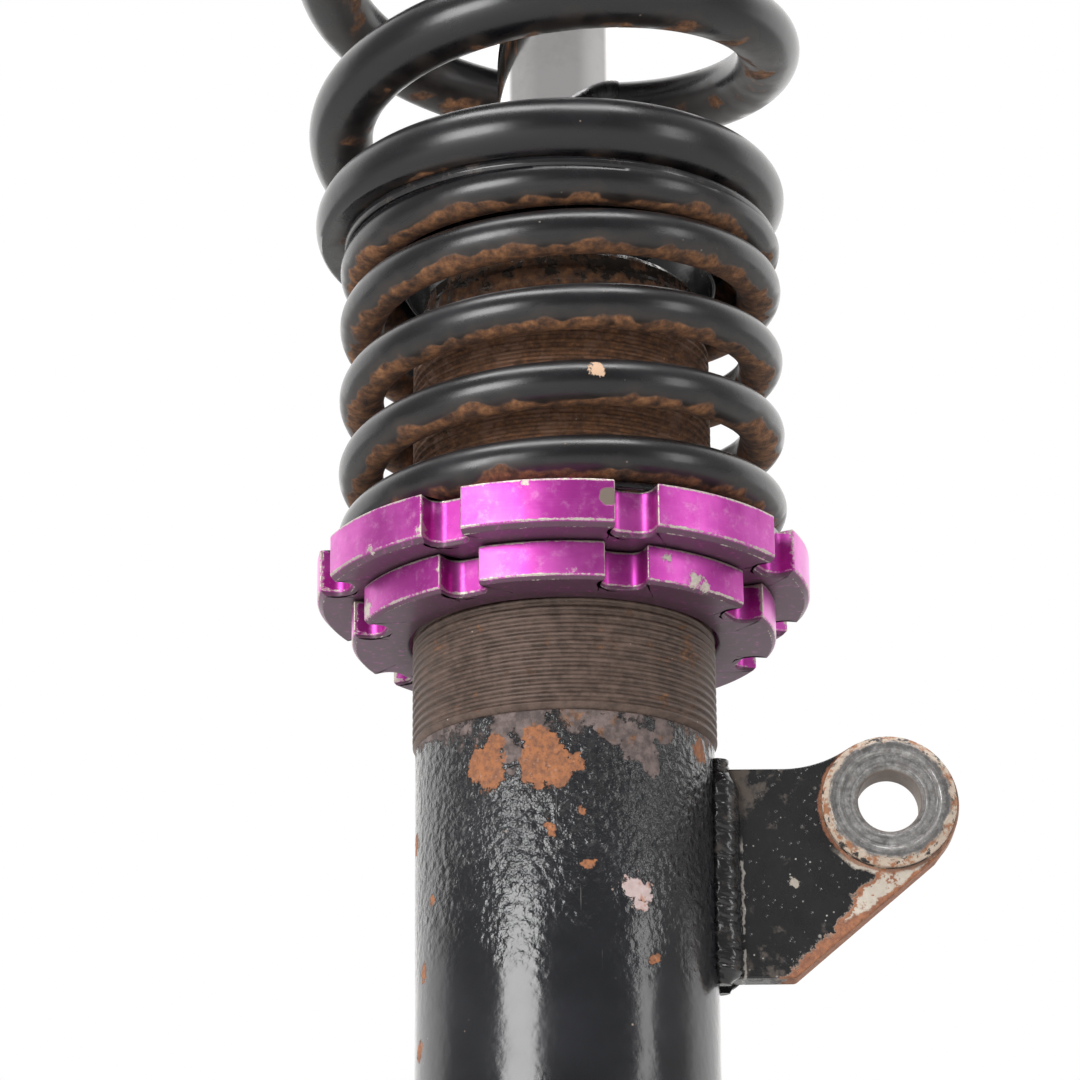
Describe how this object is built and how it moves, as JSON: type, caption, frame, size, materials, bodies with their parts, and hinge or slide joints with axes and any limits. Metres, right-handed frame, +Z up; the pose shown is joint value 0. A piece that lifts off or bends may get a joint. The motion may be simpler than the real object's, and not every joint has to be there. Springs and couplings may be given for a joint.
{
  "type": "coilover strut",
  "caption": "Front suspension coilover strut: threaded twin-tube damper, two spring rings, helper spring, coupling ring, main spring and swivelling top mount.",
  "frame": {"origin": "on the strut axis at the foot of the clamped spigot", "axes": "+Z up along the strut axis to the top mount, +X towards the anti-roll bar link eye"},
  "size_m": [0.1251, 0.124, 0.528],
  "materials": {
    "tube_paint": "chipped gloss black paint with rust spots",
    "thread_steel": "rolled thread, rusted and dirty",
    "gland_black": "gloss black",
    "seal_rubber": "matte",
    "sintered_steel": "matt sintered",
    "bush_bronze": "satin",
    "inner_steel": "oiled bare steel",
    "bracket_paint": "pitted black paint, rusted edges",
    "boss_steel": "turned bare steel with rust round the rim",
    "weld_paint": "gloss black paint over weld ripples",
    "spring_coat": "satin black powder coat with dust and rust",
    "purple_anodised": "purple anodised, worn to bare metal at the edges",
    "coupler_black": "gloss black",
    "rod_chrome": "hard chrome, polished",
    "zinc_steel": "zinc plated",
    "bump_foam": "matte closed-cell foam",
    "seat_paint": "satin black",
    "bearing_steel": "ground and polished"
  },
  "bodies": {
    "strut": {"strut_tube": "tube_paint", "threaded_tube": "thread_steel", "foot_cap": "tube_paint", "gland_nut": "gland_black", "rod_wiper": "seal_rubber", "rod_seal": "seal_rubber", "rod_guide": "sintered_steel", "guide_bush": "bush_bronze", "pressure_tube": "inner_steel", "foot_valve": "sintered_steel", "link_bracket": "bracket_paint", "link_boss": "boss_steel", "bracket_welds": "weld_paint"},
    "helper": {"helper_spring": "spring_coat"},
    "adjuster": {"adjuster_collar": "purple_anodised"},
    "lock": {"lock_ring": "purple_anodised"},
    "coupler": {"coupling_ring": "coupler_black"},
    "rod": {"piston_rod": "rod_chrome", "piston": "sintered_steel", "piston_band": "bush_bronze", "piston_nut": "zinc_steel", "compression_shims": "inner_steel", "rebound_shims": "inner_steel", "rebound_stop": "inner_steel", "rebound_buffer": "seal_rubber", "bump_stop": "bump_foam", "bump_stop_cup": "zinc_steel", "main_spring": "spring_coat", "seat_insulator": "seal_rubber", "upper_seat": "seat_paint", "seat_spacer": "zinc_steel", "bearing_inner_race": "bearing_steel", "bearing_balls": "bearing_steel", "rod_washer": "zinc_steel", "rod_nut": "zinc_steel"},
    "mount": {"bearing_outer_race": "bearing_steel", "bearing_cup": "seat_paint", "mount_rubber": "seal_rubber", "mount_plate": "seat_paint", "mount_studs": "zinc_steel"}
  },
  "joints": [
    {"name": "perch_lift", "type": "slide", "parent": "strut", "child": "helper", "axis": [0, 0, 1], "range_m": [-0.0151, 0.0106]},
    {"name": "collar_turn", "type": "hinge", "parent": "helper", "child": "adjuster", "pos_m": [0, 0, 0.255], "axis": [0, 0, 1], "range_deg": [-3600, 2520]},
    {"name": "lock_ring_turn", "type": "hinge", "parent": "helper", "child": "lock", "pos_m": [0, 0, 0.2475], "axis": [0, 0, 1], "range_deg": [-3600, 2520]},
    {"name": "helper_squeeze", "type": "slide", "parent": "helper", "child": "coupler", "axis": [0, 0, 1], "range_m": [-0.015, 0], "deforming": ["helper_spring"]},
    {"name": "main_squeeze", "type": "slide", "parent": "coupler", "child": "rod", "axis": [0, 0, 1], "range_m": [-0.06, 0], "stiffness_N_per_m": 30000, "springref_m": 0.004, "deforming": ["main_spring"]},
    {"name": "mount_swivel", "type": "hinge", "parent": "rod", "child": "mount", "pos_m": [0, 0, 0.5], "axis": [0, 0, 1], "continuous": true}
  ],
  "couplings": [
    {"joint": "perch_lift", "follows": "collar_turn", "m_per_rad": 0.00023873},
    {"joint": "lock_ring_turn", "follows": "collar_turn", "ratio": 1},
    {"joint": "helper_squeeze", "follows": "main_squeeze", "ratio": 0.25}
  ]
}
